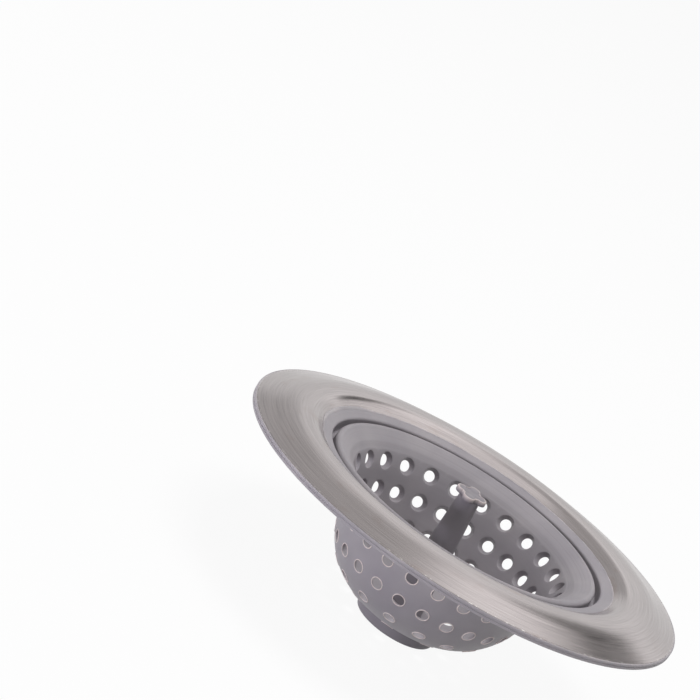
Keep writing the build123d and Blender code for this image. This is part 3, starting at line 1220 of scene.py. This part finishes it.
@dataclass
class Studio:
    """Floor, lamps and white surroundings.

    Args:
        floor_size: half the floor's side, in metres.
        floor_grey: the floor's colour, which the shadow is seen on.
        floor_glow: how much of the plain background lies over it.
        aim: the point that the lamps face.
        lamps: the lamps.
        tent: strength of the tent at the horizon, as metal mirrors it.
        tent_rise: how much stronger it is higher up, between the heights of tent_edge.
        lit, dim, gap: how much stronger or weaker three parts of its back are.
        lit_heights, dim_heights, low_dim_heights, gap_heights: where each part begins and ends,
            in degrees above the horizon, with soft ends.
        dim_side, low_dim_side, back_sides: the same across, as the direction's x.
        bounce: strength of the tent below and at the horizon, as it lights matt faces.
        bounce_top: the same overhead.
    """

    floor_size: float = 6.0
    floor_grey: float = 0.8
    floor_glow: float = 0.93
    aim: Place = (0.0, 0.0, 20.0 * MM)
    lamps: tuple[Softbox, ...] = (
        Softbox("top_softbox", (0.0, 0.0, 1.25), (0.6, 0.6), 10.0),
        Softbox("left_low", (-1.3, -0.7, 0.08), (0.9, 0.16), 4.2, COOL),
        Softbox("front_low", (-0.6, -1.25, 0.08), (1.1, 0.16), 7.0, COOL),
    )
    tent: float = 0.78
    tent_rise: float = 0.34
    tent_edge: Point = (14.0, 24.0)
    lit: float = 0.40
    lit_heights: Ramp = (46.0, 50.0, 60.0, 68.0)
    dim: float = 0.56
    dim_heights: Point = (30.0, 40.0)
    dim_side: Point = (-0.1, 0.0)
    low_dim_heights: Point = (14.0, 22.0)
    low_dim_side: Point = (-0.26, -0.14)
    dim_end: Point = (60.0, 75.0)
    gap: float = 1.08
    gap_heights: Ramp = (24.0, 28.0, 37.0, 43.0)
    back_sides: Ramp = (0.0, 0.06, 0.26, 0.31)
    back_start: Point = (0.0, 0.3)
    bounce: float = 0.13
    bounce_top: float = 0.42

    def floor(self) -> None:
        """A white floor that keeps the strainer's shadow."""
        material, graph = new_material("white_paper")
        grey = (self.floor_grey, self.floor_grey, self.floor_grey, 1.0)
        white = graph.node("ShaderNodeBsdfDiffuse", {"Color": grey})
        glow = graph.node("ShaderNodeEmission", {"Color": WHITE, "Strength": 1.0})
        path = graph.node("ShaderNodeLightPath")
        share = (path.out("Is Camera Ray") + path.out("Is Glossy Ray")) * self.floor_glow
        finish_with(graph, graph.node("ShaderNodeMixShader", {0: share, 1: white, 2: glow}))
        bm = bmesh.new()
        bmesh.ops.create_grid(bm, x_segments=1, y_segments=1, size=self.floor_size)
        object_from("white_floor", bm, material)

    def mirrored_tent(self, x: Flow, y: Flow, z: Flow) -> Flow:
        """Strength of the tent for what mirrors it, with a lit, a dim and a dark part at its back.

        Args:
            x, y, z: the direction's parts to the right, to the back and upwards.
        """
        height = z.call("ARCSINE")

        def above(begin: float, full: float) -> Flow:
            """Goes from 0 to 1 between two heights in degrees."""
            return height.between(radians(begin), radians(full))

        high = (1.0 - x.between(*self.dim_side)) * above(*self.dim_heights)
        low = (1.0 - x.between(*self.low_dim_side)) * above(*self.low_dim_heights)
        dim = high.call("MAXIMUM", low) * (1.0 - above(*self.dim_end))
        right = x.within(*self.back_sides)
        gap = right * height.within(*map(radians, self.gap_heights))
        lit = right * height.within(*map(radians, self.lit_heights))
        change = y.between(*self.back_start) * (self.lit * lit - self.dim * dim - self.gap * gap)
        return (self.tent + self.tent_rise * above(*self.tent_edge) + change).call("MAXIMUM", 0.0)

    def world(self) -> None:
        """White to the camera, and a pale tent to the strainer."""
        world = bpy.data.worlds.new("studio")
        world.use_nodes = True
        world.node_tree.nodes.clear()
        graph = Graph(world.node_tree)
        x, y, z = graph.parts(graph.node("ShaderNodeTexCoord").out("Generated"))
        path = graph.node("ShaderNodeLightPath")
        matt = self.bounce + z.between(-0.1, 1.0) * (self.bounce_top - self.bounce)
        seen = path.out("Is Camera Ray")
        gloss = path.out("Is Glossy Ray")
        unseen = gloss * self.mirrored_tent(x, y, z) + (1.0 - gloss) * matt
        strength = seen + (1.0 - seen) * unseen
        tent = graph.node("ShaderNodeBackground", {"Color": WHITE, "Strength": strength})
        graph.node("ShaderNodeOutputWorld", {"Surface": tent})
        bpy.context.scene.world = world

    def build(self) -> None:
        """Sets up the floor, the surroundings and the lamps."""
        self.floor()
        self.world()
        for lamp in self.lamps:
            lamp.build(self.aim)


@dataclass
class PhotoCamera:
    """The camera of the photograph.

    Args:
        azimuth: degrees round the axis, with 0 looking along +Y.
        elevation: degrees above the rim's plane.
        roll: degrees that the picture is turned by.
        distance: from the middle of the rim's land, in metres.
        focal_px: focal length in pixels.
        centre_px: where the middle of the rim's land lies in the picture.
        picture_px: side of the square picture.
        look_at: the middle of the rim's land.
        sensor: width of the sensor, in millimetres.
        clip: nearest and furthest distance that it sees, in metres.
    """

    azimuth: float = 4.6
    elevation: float = 17.03
    roll: float = 33.32
    distance: float = 613.6 * MM
    focal_px: float = 2607.8
    centre_px: Point = (464.11, 515.75)
    picture_px: float = 700.0
    look_at: Place = (0.0, 0.0, 32.0 * MM)
    sensor: float = 36.0
    clip: Point = (0.05, 50.0)

    def build(self) -> None:
        """Places the camera and makes it the scene's own."""
        data = bpy.data.cameras.new("photo_camera")
        data.sensor_fit = "HORIZONTAL"
        data.sensor_width = self.sensor
        data.lens = self.focal_px * self.sensor / self.picture_px
        data.clip_start, data.clip_end = self.clip
        camera = linked("photo_camera", data)
        yaw = atan2(self.centre_px[0] - self.picture_px / 2, self.focal_px)
        drop = self.centre_px[1] - self.picture_px / 2
        pitch = atan2(drop * cos(yaw), self.focal_px)
        round_axis = Matrix.Rotation(radians(self.azimuth), 4, "Z")
        tilt = Matrix.Rotation(radians(90 - self.elevation), 4, "X")
        turn = Matrix.Rotation(radians(self.roll), 4, "Z")
        stand = round_axis @ tilt @ Matrix.Translation((0, 0, self.distance))
        aside = Matrix.Rotation(yaw, 4, "Y") @ Matrix.Rotation(pitch, 4, "X")
        camera.matrix_world = Matrix.Translation(self.look_at) @ stand @ turn @ aside
        bpy.context.scene.camera = camera


def main() -> None:
    """Builds the strainer, the studio and the camera."""
    logging.basicConfig(level=logging.INFO)
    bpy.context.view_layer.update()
    bpy.context.scene.view_settings.view_transform = "Standard"
    steel = SteelRim()
    steel.build(BrushedSteel())
    basket = Basket(steel)
    # The basket's silicone gets painted highlight rings at the steel's edge and at its seam.
    basket.build(Silicone("light_grey_silicone", srgb(149, 144, 149), srgb(196, 189, 190), basket.painted_highlight_rings))
    GripPlug().build(Silicone("dark_grey_silicone", srgb(138, 133, 138), srgb(156, 151, 155)))
    Studio().build()
    PhotoCamera().build()


if __name__ == "__main__":
    main()
